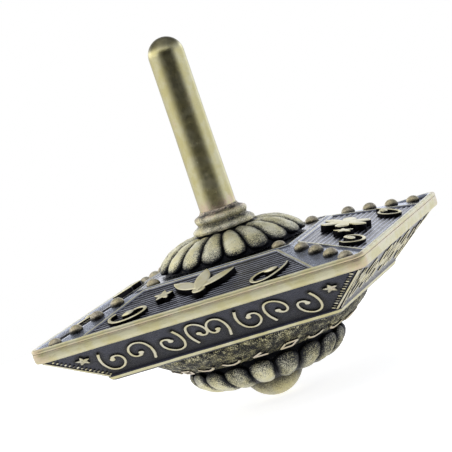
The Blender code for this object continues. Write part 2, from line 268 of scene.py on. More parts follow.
def add_stroke(build, place, path, half_width, height, sink=0.15, round_edge=0.09):
    """A raised stroke along a path. Its top is rubbed bright and its sides stay dark."""
    path = np.asarray(path, float)
    count = len(path)
    run = np.gradient(path, axis=0)
    run /= np.linalg.norm(run, axis=1, keepdims=True)
    across = np.stack([-run[:, 1], run[:, 0]], 1)
    half_width = np.broadcast_to(half_width, (count,))
    height = np.broadcast_to(height, (count,))
    edge = np.minimum(round_edge, half_width * 0.5)
    half = [(0, None, 0.0), (0, 1.0, 0.05), (0.3, 0.3, 0.75), (1, 0.0, 1.0)]
    rows, wear = [], []
    for sign, steps in ((-1, half), (0, [(0, -0.35, 1.0)]), (1, half[::-1])):
        for inset, drop, rubbed in steps:
            at = path + across * (sign * (half_width - inset * edge))[:, None]
            level = -sink + 0 * height if drop is None else height - drop * edge
            rows.append(place(at[:, 0], at[:, 1], level))
            wear.append(np.full(count, rubbed))
    points = np.stack(rows, 1)
    build.grid(points, np.stack(wear, 1).reshape(-1), caps=True)


def add_plateau(build, place, outline, height, sink=0.15, edge=0.14, dome=0.0, rubbed_to=1.0):
    """A raised flat shape with a rounded edge, from a closed outline seen from above."""
    outline = np.asarray(outline, float)
    before, after = np.roll(outline, 1, 0), np.roll(outline, -1, 0)
    run = after - before
    run /= np.maximum(np.linalg.norm(run, axis=1, keepdims=True), 1e-9)
    area = np.sum(outline[:, 0] * after[:, 1] - after[:, 0] * outline[:, 1])
    inward = np.stack([-run[:, 1], run[:, 0]], 1) * (1 if area > 0 else -1)
    rings, wear = [], []
    for inset, level, rubbed in (
        (0, -sink, 0.0), (0, height - edge, 0.05), (0.3 * edge, height - 0.3 * edge, 0.75), (edge, height, 1.0)
    ):
        at = outline + inward * inset
        rings.append(place(at[:, 0], at[:, 1], level))
        wear.append(rubbed * rubbed_to)
    centre = outline.mean(0)
    for share in (0.6, 0.2):
        at = centre + (outline + inward * edge - centre) * share
        rings.append(place(at[:, 0], at[:, 1], height + dome * (1 - share**2)))
        wear.append(rubbed_to)
    build.grid(np.stack(rings), np.array(wear), caps=True)


def add_ball(build, centre, radii, axes, wear_high, rows, columns):
    """An ellipsoid. axes are its own x, y and z directions; it is bright on top."""
    up = np.radians(np.linspace(-88, 88, rows))[:, None]
    turn = np.radians(np.arange(columns) * 360 / columns)[None]
    local = np.stack([np.cos(up) * np.cos(turn), np.cos(up) * np.sin(turn), np.sin(up) + 0 * turn], -1)
    points = np.asarray(centre) + (local * np.asarray(radii)) @ np.asarray(axes, float)
    wear = wear_high * smooth(-0.2, 0.55, local[..., 2])
    build.grid(points, wear.reshape(-1), caps=True)


# Materials.


def material_nodes(name):
    material = bpy.data.materials.new(name)
    material.use_nodes = True
    tree = material.node_tree
    shader = tree.nodes["Principled BSDF"]

    def node(kind, **settings):
        made = tree.nodes.new(kind)
        for key, value in settings.items():
            if key in made.inputs.keys():
                made.inputs[key].default_value = value
            else:
                setattr(made, key.lower(), value)
        return made

    def link(source, target):
        tree.links.new(source, target)

    return material, shader, node, link


def antique_brass(
    name,
    bright=(0.62, 0.58, 0.35),
    dark=(0.050, 0.050, 0.060),
    recess=None,
    threshold=0.5,
    softness=0.25,
    mottle=0.35,
    grain=0.0,
    grain_size=0.35,
    bright_rough=0.34,
    dark_rough=0.42,
    bump=0.02,
    pink=0.12,
    edge_tint=1.0,
):
    """Brass blackened in the recesses and rubbed bright where the wear is high."""
    material, shader, node, link = material_nodes(name)
    place = node("ShaderNodeTexCoord")
    scale = node("ShaderNodeMapping", Scale=(1000.0, 1000.0, 1000.0))
    link(place.outputs["Object"], scale.inputs["Vector"])
    at = scale.outputs["Vector"]

    def noise_node(size, detail):
        made = node("ShaderNodeTexNoise", Scale=1 / size, Detail=detail, Roughness=0.6)
        link(at, made.inputs["Vector"])
        return made.outputs["Fac"]

    def mathed(operation, first, second):
        made = node("ShaderNodeMath", operation=operation)
        for socket, value in zip(made.inputs, (first, second)):
            if isinstance(value, float):
                socket.default_value = value
            else:
                link(value, socket)
        return made.outputs[0]

    def ranged(value, low, high, to_low=0.0, to_high=1.0):
        made = node("ShaderNodeMapRange", interpolation_type="SMOOTHSTEP")
        for key, number in zip(("From Min", "From Max", "To Min", "To Max"), (low, high, to_low, to_high)):
            made.inputs[key].default_value = number
        link(value, made.inputs["Value"])
        return made.outputs["Result"]

    def mixed(amount, first, second):
        made = node("ShaderNodeMix", data_type="RGBA")
        link(amount, made.inputs[0])
        for socket, value in ((made.inputs[6], first), (made.inputs[7], second)):
            if isinstance(value, tuple):
                socket.default_value = (*value, 1.0)
            else:
                link(value, socket)
        return made.outputs[2]

    # The per-vertex number is wear and, in a few places, painted shade, so the mix of patina and brass below also
    # lays down that painted shade.
    wear = node("ShaderNodeAttribute", attribute_name="wear").outputs["Fac"]
    broad = noise_node(1.9, 4.0)
    fine = noise_node(grain_size, 3.0)
    value = mathed("ADD", wear, mathed("MULTIPLY", mathed("SUBTRACT", broad, 0.5), mottle))
    value = mathed("ADD", value, mathed("MULTIPLY", mathed("SUBTRACT", fine, 0.5), grain))
    rubbed = ranged(value, threshold - softness, threshold + softness)

    tint = ranged(noise_node(2.4, 4.0), 0.38, 0.62)
    brass = mixed(tint, bright, tuple(c * k for c, k in zip(bright, (0.92, 0.89, 0.72))))
    copper = ranged(noise_node(2.6, 4.0), 0.60, 0.74, 0.0, pink)
    shown = node("ShaderNodeAttribute", attribute_name="copper").outputs["Fac"]
    patchy = ranged(noise_node(0.7, 3.0), 0.3, 0.6)
    copper = mathed("MAXIMUM", copper, mathed("MULTIPLY", shown, patchy))
    brass = mixed(copper, brass, COPPER)
    smoky = ranged(noise_node(1.2, 4.0), 0.3, 0.7)
    patina = mixed(smoky, dark, tuple(c * 0.7 for c in dark))
    if recess:
        patina = mixed(ranged(wear, 0.02, 0.26), recess, patina)
    link(mixed(rubbed, patina, brass), shader.inputs["Base Color"])
    shader.inputs["Metallic"].default_value = 1.0
    shader.inputs["Specular Tint"].default_value = (edge_tint, edge_tint, edge_tint, 1.0)

    rough = ranged(rubbed, 0.0, 1.0, dark_rough, bright_rough)
    rough = mathed("ADD", rough, mathed("MULTIPLY", mathed("SUBTRACT", noise_node(0.8, 3.0), 0.5), 0.16))
    link(rough, shader.inputs["Roughness"])

    relief = mathed("ADD", fine, mathed("MULTIPLY", broad, 0.8))
    lift = node("ShaderNodeBump", Strength=1.0, Distance=bump * MM)
    link(relief, lift.inputs["Height"])
    link(lift.outputs["Normal"], shader.inputs["Normal"])
    return material


def speckled(name, scale, dark, light, roughness):
    """An even surface with a faint mottle between two greys."""
    material, shader, node, link = material_nodes(name)
    coords = node("ShaderNodeTexCoord")
    spots = node("ShaderNodeTexNoise", Scale=scale, Detail=3.0)
    link(coords.outputs["Object"], spots.inputs["Vector"])
    tone = node("ShaderNodeMix", data_type="RGBA")
    tone.inputs[6].default_value, tone.inputs[7].default_value = (*dark, 1), (*light, 1)
    link(spots.outputs["Fac"], tone.inputs[0])
    link(tone.outputs[2], shader.inputs["Base Color"])
    shader.inputs["Roughness"].default_value = roughness
    return material, shader


def steel():
    material, shader = speckled("zinc_steel", 900.0, (0.42, 0.42, 0.41), (0.58, 0.58, 0.57), 0.35)
    shader.inputs["Metallic"].default_value = 1.0
    return material


def make_materials():
    casting = dict(bright=(0.585, 0.56, 0.39), threshold=0.60, softness=0.2, grain_size=0.18, bump=0.045,
                   bright_rough=0.42)
    return {
        "satin": antique_brass(
            "satin_brass", bright=(0.60, 0.560, 0.345), dark=(0.045, 0.040, 0.024), threshold=0.3, mottle=0.2,
            bump=0.008, bright_rough=0.24, pink=0.2, edge_tint=0.75,
        ),
        "roof": antique_brass(
            "roof_brass", dark=(0.27, 0.30, 0.38), recess=(0.016, 0.016, 0.022), mottle=0.5, grain=0.6,
            dark_rough=0.26, **casting,
        ),
        "tray": antique_brass(
            "tray_brass", dark=(0.034, 0.036, 0.052), recess=(0.006, 0.006, 0.008), mottle=0.4, grain=0.45,
            dark_rough=0.28, **casting,
        ),
        "relief": antique_brass(
            "raised_relief", bright=(0.625, 0.594, 0.465), dark=(0.02, 0.02, 0.024), mottle=0.3, grain=0.8,
            grain_size=0.18, bump=0.05, pink=0.35,
        ),
        "grain": antique_brass(
            "grained_brass", bright=(0.86, 0.83, 0.63), dark=(0.048, 0.050, 0.055), recess=(0.020, 0.021, 0.026),
            threshold=0.55, softness=0.3, mottle=0.7, grain=2.0, grain_size=0.13, bump=0.14, edge_tint=0.7,
            bright_rough=0.32, dark_rough=0.38,
        ),
        "boss": antique_brass(
            "grained_boss", bright=(0.76, 0.72, 0.49), dark=(0.024, 0.025, 0.028), recess=(0.008, 0.008, 0.009),
            threshold=0.64, softness=0.26, mottle=0.6, grain=2.2, grain_size=0.15, bump=0.15, edge_tint=0.7,
            bright_rough=0.38, dark_rough=0.45,
        ),
        "steel": steel(),
        "panel": antique_brass(
            "engraved_panel", bright=(0.62, 0.605, 0.47), dark=(0.28, 0.29, 0.345), recess=(0.007, 0.007, 0.009),
            threshold=0.80, softness=0.2, mottle=0.2, grain=0.3, dark_rough=0.28, edge_tint=0.85,
        ),
        "mark": antique_brass(
            "raised_mark", bright=(0.80, 0.755, 0.56), dark=(0.012, 0.011, 0.014), softness=0.2, mottle=0.15,
            grain=0.15, bump=0.03, dark_rough=0.5, edge_tint=0.7,
        ),
        "bead": antique_brass(
            "hip_bead", bright=(0.63, 0.59, 0.43), dark=(0.07, 0.066, 0.06), softness=0.36, mottle=0.5, grain=0.9,
            grain_size=0.2, bump=0.06, bright_rough=0.42, pink=0.4,
        ),
        "ball": antique_brass(
            "ball_brass", bright=(0.60, 0.562, 0.375), dark=(0.068, 0.064, 0.050), threshold=0.58, softness=0.34,
            mottle=0.6, grain=0.9, grain_size=0.16, bump=0.05,
        ),
    }


# Pieces.


def make_stem(looks):
    """The finger grip with its round end, and the thin shank inside the body."""
    build = Build()
    foot, top, radius = STEM_FOOT_Z, STEM_TOP_Z, STEM_RADIUS
    dome = [
        (radius * math.cos(math.radians(a)), top - radius + radius * math.sin(math.radians(a)))
        for a in np.linspace(0, 88, 16)
    ]
    grip = [(radius + 0.08 * float(smooth(42, 28, z)), z) for z in np.linspace(foot + 0.15, top - radius - 0.3, 60)]
    profile = [(1.1, 2.9), (1.5, 3.4), (1.5, foot), (radius - 0.05, foot), *grip, *dome]
    points = turned_points(profile, 96)
    z = np.array([row[1] for row in profile])
    # Painted shade: the top of the round end is darkened to stand for the dark reflection it shows; below it the
    # grip is rubbed bright, and the hidden shank gets a middling value.
    wear = np.where(z > foot + 0.2, 1.0 - 0.80 * smooth(50.8, 53.0, z), 0.55)
    build.grid(points, wear, caps=True)
    build.piece("stem_grip", looks["satin"], "polished_brass", "stem",
                copper=lambda p: 0.5 * smooth(30.2, 28.8, p[:, 2]))


def make_collar(looks):
    """Two rings, with a small fillet up to the stem."""
    build = Build()
    outline = curve_through(
        [
            (1.7, 25.25), (4.2, 25.25), (4.56, 25.5), (4.54, 25.85), (4.24, 26.1), (3.88, 26.3),
            (3.64, 26.48), (3.7, 26.7), (3.88, 27.0), (3.9, 27.32), (3.68, 27.62), (3.28, 27.82),
            (3.02, 27.96), (2.88, 28.12), (2.79, 28.35),
        ],
        64,
    )
    profile = np.vstack([outline, [(2.74, 28.35), (2.74, 27.9), (1.6, 27.88)]])
    points = turned_points(profile, 150)
    points[2:-8] = roughened(points[2:-8], (0, 0, 26.4), 0.075, 0.6, 3)
    neck = smooth(0.0, 0.5, np.abs(profile[:, 1] - 26.5))
    wear = 0.40 + 0.30 * neck * (1 - smooth(27.6, 27.85, profile[:, 1])) + 0.2 * smooth(27.9, 28.3, profile[:, 1])
    wear = wear[:, None] + 0.16 * noise(points, 0.8, 4)
    wear[:3] = 0
    build.grid(points, wear.reshape(-1), close=True)
    build.piece("collar_rings", looks["grain"], "grained_brass", "stem_collar",
                copper=lambda p: 0.12 + 0.45 * smooth(27.2, 27.9, p[:, 2]))


def add_lobes(build, envelope, first, thickness, width_share, round_from, wear_middle, wear_swing, from_root):
    """Lobes side by side round the axis. envelope is (r, z) along the crest of a lobe.

    first is the first lobe's angle. round_from says where along a lobe its two ends begin to close.
    The given swing is painted shade round the piece: the lobes turned away from the front left, where the light
    comes from, come out darker. from_root is the share of the brightness lost at the inner end, partly patina in the
    crease and partly painted shade under the collar on the cap and under the boss on the foot."""
    rows, columns = 26, 22
    crest = curve_through(envelope, rows)
    run = np.gradient(crest, axis=0)
    run /= np.linalg.norm(run, axis=1, keepdims=True)
    outward = np.stack([-run[:, 1], run[:, 0]], 1)
    if outward[rows // 2] @ np.array([1.0, 0.0]) < 0:
        outward = -outward
    share = np.linspace(0, 1, rows)
    start, end = round_from
    taper = np.ones(rows)
    taper *= np.sqrt(np.clip(1 - (np.clip(start - share, 0, None) / start) ** 2, 0.0004, 1))
    taper *= np.sqrt(np.clip(1 - (np.clip(share - end, 0, None) / (1 - end)) ** 2, 0.0004, 1))
    pitch = 2 * math.pi / LOBES
    around = np.radians(np.arange(columns) * 360 / columns)
    for lobe in range(LOBES):
        angle = math.radians(first) + lobe * pitch
        half = crest[:, 0] * pitch / 2 * width_share * taper
        thick = thickness * (0.55 + 0.45 * taper)
        centre = crest - outward * thick[:, None]
        cos = np.sign(np.cos(around)) * np.abs(np.cos(around)) ** 0.85
        sin = np.sign(np.sin(around)) * np.abs(np.sin(around)) ** 0.9
        reach = thick * np.minimum(1, 0.35 + 0.65 * taper)
        meridian = centre[:, None] + outward[:, None] * (cos[None, :] * reach[:, None])[..., None]
        side = half[:, None] * sin[None, :]
        r, z = meridian[..., 0], meridian[..., 1]
        c, s = math.cos(angle), math.sin(angle)
        points = np.stack([r * c - side * s, r * s + side * c, z], -1)
        bump = noise(points, 0.8, 5) * 0.06 + noise(points, 0.36, 6) * 0.045
        middle = np.stack([centre[:, 0] * c, centre[:, 0] * s, centre[:, 1]], -1)[:, None]
        away = points - middle
        points = points + away / np.maximum(np.linalg.norm(away, axis=-1, keepdims=True), 0.3) * bump[..., None]
        rubbed = smooth(0.2, 1.0, np.cos(around))[None, :] * taper[:, None] ** 1.7
        # Painted shade: darker on the lobes turned away from the light at the front left (208 degrees); the sine
        # term is a random tone from lobe to lobe.
        wear_and_side_shade = wear_middle + wear_swing * math.cos(angle - math.radians(208)) + 0.11 * math.sin(lobe * 2.3 + 1.0)
        # Darker towards the inner end: partly patina in the crease, partly painted shade under the collar on the cap
        # and under the boss on the foot.
        rubbed = rubbed * (1 - from_root + from_root * smooth(0.1, 0.5, share))[:, None]
        build.grid(points, (rubbed * wear_and_side_shade).reshape(-1), caps=True)


def make_cap(looks):
    """A plain black bed with lobes on it. The foot is made the same way."""
    build = Build()
    bed = curve_through([(4.3, 25.1), (5.5, 24.75), (7.4, 24.0), (9.2, 22.9), (10.2, 22.1), (10.35, 21.5)], 24)
    profile = np.vstack([bed, [(9.9, 21.5), (8.4, 21.5), (7.0, 22.9), (4.0, 23.7), (1.6, 23.7), (1.6, 25.1)]])
    build.grid(turned_points(profile, 120), 0.0, close=True)
    crest = [(4.3, 25.13), (5.6, 25.12), (7.2, 24.9), (8.8, 24.25), (10.1, 23.35), (11.0, 22.5), (11.3, 21.95)]
    # Painted shade on the cap: a little darkening on the side away from the light and at the inner ends under the
    # collar.
    add_lobes(build, crest, first=10, thickness=0.85, width_share=0.97, round_from=(0.12, 0.72),
              wear_middle=0.80, wear_swing=0.06, from_root=0.2)
    build.piece("cap_lobes", looks["grain"], "grained_brass", "upper_lobed_cap", sharp=60)


def make_foot(looks):
    build = Build()
    bed = curve_through([(10.4, 7.4), (10.7, 6.6), (10.4, 5.4), (9.4, 4.3), (7.8, 3.6), (5.6, 3.1), (5.1, 3.0)], 24)
    profile = np.vstack([bed, [(4.6, 3.6), (4.6, 6.1), (4.0, 7.0), (1.6, 7.0), (1.6, 7.4), (8.0, 7.4)]])
    build.grid(turned_points(profile, 120), 0.0, close=True)
    crest = [
        (10.7, 7.35), (11.45, 7.0), (11.72, 6.3), (11.6, 5.5), (11.05, 4.7), (10.1, 3.95), (8.6, 3.35), (6.3, 2.95),
    ]
    # Strong painted shade on the side of the foot away from the light; the inner ends under the boss are darkened,
    # partly patina and partly painted shade.
    add_lobes(build, crest, first=0, thickness=0.95, width_share=0.91, round_from=(0.2, 0.6),
              wear_middle=0.66, wear_swing=0.2, from_root=0.55)
    build.piece("foot_lobes", looks["grain"], "grained_brass", "lower_lobed_foot", sharp=60)


def make_ball(looks):
    build = Build()
    ball = [
        (BALL_RADIUS * math.cos(math.radians(a)), BALL_RADIUS * (1 + math.sin(math.radians(a))))
        for a in np.linspace(-84, 32, 60)
    ]
    profile = np.array([(0.35, 0.0), *ball, (1.6, 6.9), (1.6, 2.7), (0.2, 2.7)])
    points = turned_points(profile, 96)
    points[3:-3] = roughened(points[3:-3], (0, 0, BALL_RADIUS), 0.02, 1.4, 9)
    rubbed = 0.12 + 0.60 * (1 - smooth(0.6, 4.0, np.array(ball)[:, 1]))
    wear = np.concatenate([[0.8], rubbed, [0, 0, 0]])
    build.grid(points, wear, caps=True)
    build.piece("ball_point", looks["ball"], "polished_brass", "ball_tip")


def add_rings(build, rings, tone=None):
    """rings are (half, z, corner, wear), or (radius, z) for the bore. Lofts them, with slight waves."""
    points, wear = [], []
    for ring in rings:
        points.append(bore_ring(*ring) if len(ring) == 2 else square_ring(*ring[:3]))
        wear.append(0.0 if len(ring) == 2 else ring[3])
    points = np.stack(points)
    swing = (1 + noise(points, 3.2, 1)) * CASTING_WAVES + (1 + noise(points, 1.1, 2)) * CASTING_WAVES * 0.5
    away = points.copy()
    away[..., 2] = 0
    away /= np.maximum(np.linalg.norm(away, axis=-1, keepdims=True), 1e-6)
    points = points + away * swing[..., None] * -1
    points[..., 2] -= swing * 0.6
    wear = np.repeat(np.array(wear)[:, None], points.shape[1], 1)
    if tone:
        wear = tone(points, wear)
    build.grid(points, wear.reshape(-1), close=True)


def slope_rings(low, high, count, corners, wear):
    """Rings between two (half, z) pairs, so that a flat face has points to wave with."""
    shares = np.linspace(0, 1, count + 2)[1:-1]
    return [
        (
            low[0] + (high[0] - low[0]) * t,
            low[1] + (high[1] - low[1]) * t,
            corners[0] + (corners[1] - corners[0]) * t,
            wear,
        )
        for t in shares
    ]


def corner_copper(points):
    """The rim's corners are rubbed through to copper, and a brown stain follows the seam."""
    corner = 0.4 * smooth(45.5, 49.0, np.abs(points[:, 0]) + np.abs(points[:, 1]))
    outside = np.maximum(np.abs(points[:, 0]), np.abs(points[:, 1])) > 24.8
    return np.maximum(corner, 0.35 * outside * smooth(0.3, 0.05, np.abs(points[:, 2] - SEAM_Z)))


def make_roof(looks):
    """The upper casting: the top of the rim, the roof, the platform's raised edge and the underside."""
    build = Build()
    outer = [
        (23.2, 18.395, 1.2, 0.0),
        (24.85, 18.395, 1.6, 0.45),
        (24.92, 18.41, 1.7, 0.65),
        (24.95, 18.46, 1.7, 0.9),
        (24.95, 18.72, 1.7, 1.0),
        (24.90, 18.88, 1.7, 1.0),
        (24.77, 18.98, 1.7, 1.0),
        (24.52, 19.00, 1.6, 0.75),
        (24.14, 18.91, 1.4, 0.25),
        (23.88, 18.70, 1.1, 0.12),
        (23.64, 18.50, 0.8, 0.05),
        (23.40, 18.36, 0.5, 0.0),
    ]
    roof = slope_rings((23.4, 18.33), (11.95, 21.32), 16, (0.45, 0.3), 0.32)
    edge = [
        (11.85, 21.33, 0.3, 0.0),
        (11.72, 21.46, 0.3, 0.5),
        (11.62, 21.50, 0.3, 1.0),
        (11.52, 21.47, 0.3, 0.5),
        (11.42, 21.38, 0.3, 0.0),
    ]
    flat = slope_rings((11.3, 21.37), (6.0, 21.37), 5, (0.3, 0.3), 0.12)
    under = [
        (11.2, 20.2, 0.3, 0.0),
        (22.2, 17.35, 0.4, 0.0),
        (22.2, 17.32, 0.4, 0.0),
        (23.05, 17.32, 0.7, 0.0),
    ]
    add_rings(build, [*outer, *roof, *edge, *flat, (BORE, 21.37), (BORE, 20.2), *under])
    build.piece("roof_body", looks["roof"], "antiqued_brass", "roof_shell", sharp=70, copper=corner_copper)


def make_tray(looks):
    """The lower casting: the lower part of the rim, the leaning sides, the foot moulding and the floor."""
    build = Build()
    rim = [
        (22.1, 17.3, 0.5, 0.0),
        (23.2, 17.3, 0.7, 0.0),
        (23.2, 18.385, 1.1, 0.0),
        (24.85, 18.385, 1.6, 0.45),
        (24.925, 18.37, 1.7, 0.65),
        (24.955, 18.32, 1.7, 0.9),
        (24.955, 17.95, 1.7, 0.82),
        (24.93, 17.55, 1.7, 0.80),
        (24.90, 17.24, 1.7, 1.0),
        (24.78, 16.99, 1.6, 1.0),
        (24.42, 16.87, 1.4, 0.8),
        (24.15, 16.95, 1.0, 0.25),
        (24.0, 16.98, 0.8, 0.0),
    ]
    side = slope_rings((TRAY_TOP_HALF, TRAY_TOP_Z), (17.75, 11.87), 26, (0.8, 0.7), 0.30)
    foot = [
        (17.73, 11.78, 0.7, 0.1),
        (17.76, 11.60, 0.7, 0.35),
        (17.73, 11.48, 0.7, 0.95),
        (17.62, 11.26, 0.7, 1.0),
        (17.44, 11.06, 0.7, 0.35),
        (17.15, 10.94, 0.6, 0.05),
    ]
    floor = slope_rings((17.0, 10.95), (14.0, 10.95), 3, (0.6, 0.6), 0.1)
    inside = [(16.4, 12.1, 0.4, 0.0)]
    add_rings(build, [*rim, *side, *foot, *floor, (BORE, 10.95), (BORE, 12.1), *inside], tone=tray_wear)
    build.piece("tray_body", looks["tray"], "antiqued_brass", "tray_shell", sharp=70, copper=corner_copper)


def make_panel(side, looks):
    """The engraved field of one roof face, with its raised border."""
    build = Build()
    place = on_roof(side)
    low, high = 0.15, ROOF_LENGTH - 1.05
    rows, columns = 170, 190
    v = np.linspace(low, high, rows)[:, None]
    t = np.linspace(-1, 1, columns)[None, :]
    t = np.sign(t) * (1 - (1 - np.abs(t)) ** 1.15)
    reach = 17.9 + (10.35 - 17.9) * (v - low) / (high - low)
    u = t * reach
    seed = SIDES.index(side) * 7 + 2
    flat = np.stack([u, v + 0 * u, 0 * u], -1)
    wander = noise(flat * np.array([0.2, 1, 1]), 2.2, seed) * 0.12
    wave = 0.5 + 0.5 * np.cos(2 * math.pi * (v + wander) / PANEL_LINE_PITCH)
    cut = smooth(0.60, 0.92, wave) * (0.8 + 0.2 * noise(flat * np.array([0.3, 1, 1]), 0.6, seed + 2))
    from_side = (1 - np.abs(t)) * reach * 0.93
    from_top = high - v + 0 * u
    border = 1 - smooth(0.30, 0.46, from_side)
    border = np.maximum(border, 1 - smooth(0.14, 0.28, from_top))
    fence = smooth(0.46, 0.75, np.minimum(from_side, from_top + 0.1))
    clear = smooth(0.05, 0.65, distance(np.stack([u, v + 0 * u], -1), roof_figures(side)))
    height = 0.03 + 0.08 * cut * fence * (1 - border) + 0.22 * border
    height += 0.012 * noise(flat, 0.9, seed + 3)
    uneven = 0.78 + 0.5 * noise(flat * np.array([0.25, 1, 1]), 1.1, seed + 4) + 0.35 * noise(flat, 5.0, seed + 5)
    wear = 0.55 * cut * np.clip(uneven, 0.15, 1.3) * fence * (1 - border) * (0.15 + 0.85 * clear) + border * 0.95
    top = place(u, v + 0 * u, height)
    shape = np.full((rows + 2, columns + 2), -0.2)
    shape[1:-1, 1:-1] = 0
    u2, v2 = np.pad(u, 1, mode="edge"), np.pad(v + 0 * u, 1, mode="edge")
    skirt = place(u2, v2, shape)
    skirt[1:-1, 1:-1] = top
    build.grid(skirt, np.pad(wear, 1).reshape(-1), around=False)
    edge = list(range(columns + 2))
    edge += [(row + 1) * (columns + 2) - 1 for row in range(1, rows + 2)]
    edge += [(rows + 1) * (columns + 2) + column for column in range(columns, -1, -1)]
    edge += [row * (columns + 2) for row in range(rows, 0, -1)]
    build.faces.append(edge[::-1])
    build.piece(f"roof_panel_{side}", looks["panel"], "antiqued_brass", sharp=70)


def leaf(base, tip, width, steps=14):
    base, tip = np.array(base, float), np.array(tip, float)
    along = tip - base
    across = np.array([-along[1], along[0]]) / np.linalg.norm(along)
    share = np.linspace(0, 1, steps)[:, None]
    bulge = width / 2 * np.sin(np.pi * share) ** 0.8
    right = base + along * share - across * bulge
    left = base + along * share + across * bulge
    return np.vstack([right, left[-2:0:-1]])


def disc(centre, radius, count=28):
    turn = np.radians(np.arange(count) * 360 / count)
    return np.array(centre) + radius * np.stack([np.cos(turn), np.sin(turn)], 1)


def star(centre, reach, waist):
    """A soft five-pointed star, with eight steps to a point so that its edge can be rounded."""
    steps = np.arange(5 * 8)
    angle = math.pi / 2 + 2 * math.pi * steps / len(steps)
    swing = np.abs(2 * ((steps / 8) % 1) - 1) ** 1.25
    radius = waist + (reach - waist) * swing
    return np.array(centre) + radius[:, None] * np.stack([np.cos(angle), np.sin(angle)], 1)


def mark_outlines():
    """The CAD model's four marks: shapes seen from above, centred on the middle of the panel."""
    count = 96
    turn = 2 * math.pi * np.arange(count) / count
    swing = 1.5 + 2.2 * np.abs(np.cos(3 * turn)) ** 0.7
    blossom = swing[:, None] * np.stack([np.cos(turn), np.sin(turn)], 1)
    meet = (3.7**2 - 3.0**2 + 1.5**2) / 3.0
    outer, inner = math.acos(meet / 3.7), math.acos((meet - 1.5) / 3.0)
    a = np.linspace(outer, 2 * math.pi - outer, 36)
    b = np.linspace(2 * math.pi - inner, inner, 32)[1:-1]
    crescent = np.vstack(
        [3.7 * np.stack([np.cos(a), np.sin(a)], 1), 3.0 * np.stack([np.cos(b), np.sin(b)], 1) + [1.5, 0]]
    )
    return {
        "front": ("sprig", [leaf((0, -3.4), (0, 3.6), 2.3), leaf((0, -2.6), (-4.6, 1.4), 2.0),
                            leaf((0, -2.6), (4.6, 1.4), 2.0), disc((0, -2.9), 1.0)]),
        "right": ("blossom", [blossom]),
        "back": ("crescent", [crescent]),
        "left": ("twin_leaf", [leaf((-4.4, -2.4), (1.6, 3.0), 2.4), leaf((4.4, 2.4), (-1.6, -3.0), 2.4),
                               disc((0, 0), 1.2)]),
    }


def make_mark(side, looks):
    name, outlines = mark_outlines()[side]
    build = Build()
    roof = on_roof(side)
    for order, outline in enumerate(outlines):
        add_plateau(build, lambda u, v, h: roof(u, v + MARK_MIDDLE, h), outline, 0.98 - 0.03 * order, sink=-0.05)
    build.piece(f"raised_{name}", looks["mark"], "polished_brass", f"mark_{name}", sharp=50)


SWIRLS = (
    ([(-12.9, 4.6), (-13.6, 3.7), (-13.3, 2.4), (-12.0, 1.6), (-10.1, 1.8), (-8.7, 2.7), (-8.2, 3.7),
      (-8.7, 4.5), (-9.6, 4.6), (-10.3, 4.1), (-10.8, 3.5)], 35),
    ([(12.9, 5.2), (12.7, 4.2), (11.8, 2.6), (10.5, 1.3), (9.1, 1.0), (8.2, 1.7), (8.1, 2.8), (8.8, 3.8),
      (9.9, 4.1), (10.7, 3.7)], 15),
)
ROOF_STAR = (-5.8, 5.7)
MARK_MIDDLE = (ROOF_EDGE_HALF - 17.0) * ROOF_LENGTH / (ROOF_EDGE_HALF - PLATFORM_HALF)


def roof_figures(side):
    """Points all over the raised figures of one roof face, to keep the metal round them black."""
    found = [curve_through(points, 60) for points, _ in SWIRLS]
    found += [np.array([points[-1]]) + disc((0, 0), 0.6, 12) for points, _ in SWIRLS]
    found += [star(ROOF_STAR, 1.3, 0.6), np.array([ROOF_STAR])]
    for outline in mark_outlines()[side][1]:
        middle = outline.mean(0)
        found += [middle + (outline - middle) * share + [0, MARK_MIDDLE] for share in (1.0, 0.6, 0.25)]
    return np.vstack(found)


def distance(places, figures):
    """How far each place is from the nearest of the figures' points."""
    flat = places.reshape(-1, 2)
    nearest = [
        np.sqrt(((flat[i : i + 4000, None] - figures[None]) ** 2).sum(-1).min(1)) for i in range(0, len(flat), 4000)
    ]
    return np.concatenate(nearest).reshape(places.shape[:-1])


def make_roof_relief(side, looks):
    """The star and the two long swirls beside the mark."""
    build = Build()
    place = on_roof(side)
    for points, lean in SWIRLS:
        share = np.linspace(0, 1, 72)
        add_stroke(build, place, curve_through(points, 72), 0.17 + 0.08 * smooth(0, 0.2, share), 0.55)
        c, s = math.cos(math.radians(lean)), math.sin(math.radians(lean))
        drop = leaf((-1.0, 0), (1.1, 0), 1.3, 18) @ np.array([[c, s], [-s, c]]) + points[-1]
        add_plateau(build, place, drop, 0.7, edge=0.2, dome=0.1)
    add_plateau(build, place, star(ROOF_STAR, 1.5, 0.68), 0.85, edge=0.12)
    build.piece(f"roof_relief_{side}", looks["mark"], "antiqued_brass", sharp=50)


def make_beads(looks):
    """Four beads down each hip of the roof and one at each corner of the platform."""
    build = Build()
    rise = (PLATFORM_Z - ROOF_EDGE_Z) / (ROOF_EDGE_HALF - PLATFORM_HALF)
    for quarter in range(4):
        angle = math.radians(45 + 90 * quarter)
        for place in BEAD_DISTANCES:
            z = min(ROOF_EDGE_Z + rise * (ROOF_EDGE_HALF - place), PLATFORM_Z)
            wob = noise(np.array([[place, quarter * 9.0, 3.0]]), 1.0, 8)[0]
            size = BEAD_RADIUS * (1 + 0.08 * wob)
            along = np.array([math.cos(angle), math.sin(angle), 0.0])
            across = np.array([-along[1], along[0], 0.0])
            r = place * math.sqrt(2)
            centre = (r * along[0], r * along[1], z - 0.12)
            add_ball(build, centre, (size * 1.06, size * 1.12, size * 0.95), (along, across, (0, 0, 1)),
                     wear_high=0.58, rows=18, columns=30)
    build.piece("hip_beads", looks["bead"], "antiqued_brass", sharp=80, copper=lambda p: 0.2)


